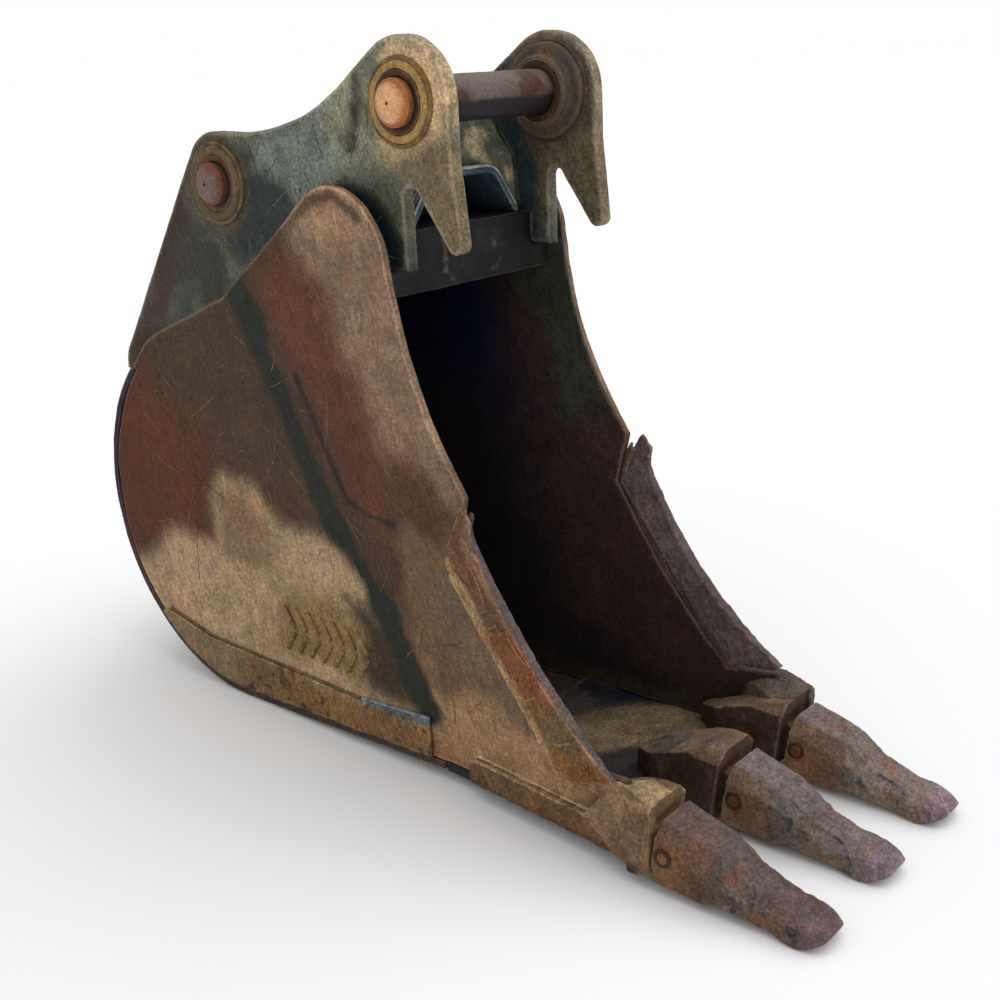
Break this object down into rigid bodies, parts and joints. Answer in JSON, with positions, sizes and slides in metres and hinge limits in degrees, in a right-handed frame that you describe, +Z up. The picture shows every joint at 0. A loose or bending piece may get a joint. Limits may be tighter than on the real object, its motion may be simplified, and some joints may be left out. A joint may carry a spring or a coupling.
{
  "type": "excavator bucket",
  "caption": "Narrow worn excavator digging bucket with hanger ears, pins, bent flared side plates, side cutters and pointed teeth on weld-on adapters.",
  "frame": {"origin": "on the ground under the centre of the bounding box, on the bucket's centre plane", "axes": "+Z up, +X forward towards the teeth, +Y across the bucket to its far side; the hinge pins run along Y"},
  "size_m": [1.806, 0.556, 1.3429],
  "materials": {
    "shell_steel": "worn dark paint over brown rust",
    "hanger_steel": "worn green-grey paint, scratched and dusty",
    "well_steel": "dark scratched paint",
    "boss_steel": "weathered steel with weld beads",
    "bush_steel": "hardened steel, rusted ends",
    "front_pin_steel": "rusted pin, orange-brown end",
    "rear_pin_steel": "rusted pin, purplish brown",
    "lip_steel": "bare worn steel with rust",
    "cutter_steel": "rough cast steel, orange-brown rust, worn edges",
    "wear_steel": "scuffed wear steel",
    "adapter_casting": "rough cast steel",
    "tooth_casting": "worn cast steel, purple-grey with brown sides",
    "lock_steel": "rusted steel",
    "ring_rubber": "matt black, dusty"
  },
  "bodies": {
    "bucket": {"adapter_far": "adapter_casting", "adapter_middle": "adapter_casting", "adapter_near": "adapter_casting", "back_wrapper": "shell_steel", "bush_front_far": "bush_steel", "bush_front_near": "bush_steel", "bush_rear_far": "bush_steel", "bush_rear_near": "bush_steel", "corner_shroud_far": "wear_steel", "corner_shroud_near": "wear_steel", "cross_beam_floor": "hanger_steel", "cross_beam_front": "hanger_steel", "ear_plate_far": "hanger_steel", "ear_plate_near": "hanger_steel", "heel_wear_far": "wear_steel", "heel_wear_near": "wear_steel", "inner_boss_front_far": "boss_steel", "inner_boss_front_near": "boss_steel", "inner_boss_rear_far": "boss_steel", "inner_boss_rear_near": "boss_steel", "lip_plate": "lip_steel", "lock_ring_far": "ring_rubber", "lock_ring_middle": "ring_rubber", "lock_ring_near": "ring_rubber", "outer_boss_front_far": "boss_steel", "outer_boss_front_near": "boss_steel", "outer_boss_rear_far": "boss_steel", "outer_boss_rear_near": "boss_steel", "pocket_back": "hanger_steel", "pocket_hood": "hanger_steel", "pocket_ledge": "hanger_steel", "side_cutter_far": "cutter_steel", "side_cutter_near": "cutter_steel", "side_plate_far": "shell_steel", "side_plate_near": "shell_steel", "tooth_far": "tooth_casting", "tooth_middle": "tooth_casting", "tooth_near": "tooth_casting", "top_sheet": "shell_steel", "well_plate": "well_steel"},
    "front_pin": {"front_pin": "front_pin_steel"},
    "rear_pin": {"rear_pin": "rear_pin_steel"},
    "lock_pin_near": {"lock_pin_near": "lock_steel"},
    "lock_pin_middle": {"lock_pin_middle": "lock_steel"},
    "lock_pin_far": {"lock_pin_far": "lock_steel"}
  },
  "joints": [
    {"name": "front_pin_slide", "type": "slide", "parent": "bucket", "child": "front_pin", "axis": [0, 1, 0], "range_m": [-0.48, 0.48]},
    {"name": "rear_pin_slide", "type": "slide", "parent": "bucket", "child": "rear_pin", "axis": [0, 1, 0], "range_m": [-0.48, 0.48]},
    {"name": "lock_pin_near_slide", "type": "slide", "parent": "bucket", "child": "lock_pin_near", "axis": [0, -1, 0], "range_m": [0, 0.097]},
    {"name": "lock_pin_middle_slide", "type": "slide", "parent": "bucket", "child": "lock_pin_middle", "axis": [0, -1, 0], "range_m": [0, 0.097]},
    {"name": "lock_pin_far_slide", "type": "slide", "parent": "bucket", "child": "lock_pin_far", "axis": [0, -1, 0], "range_m": [0, 0.097]}
  ]
}
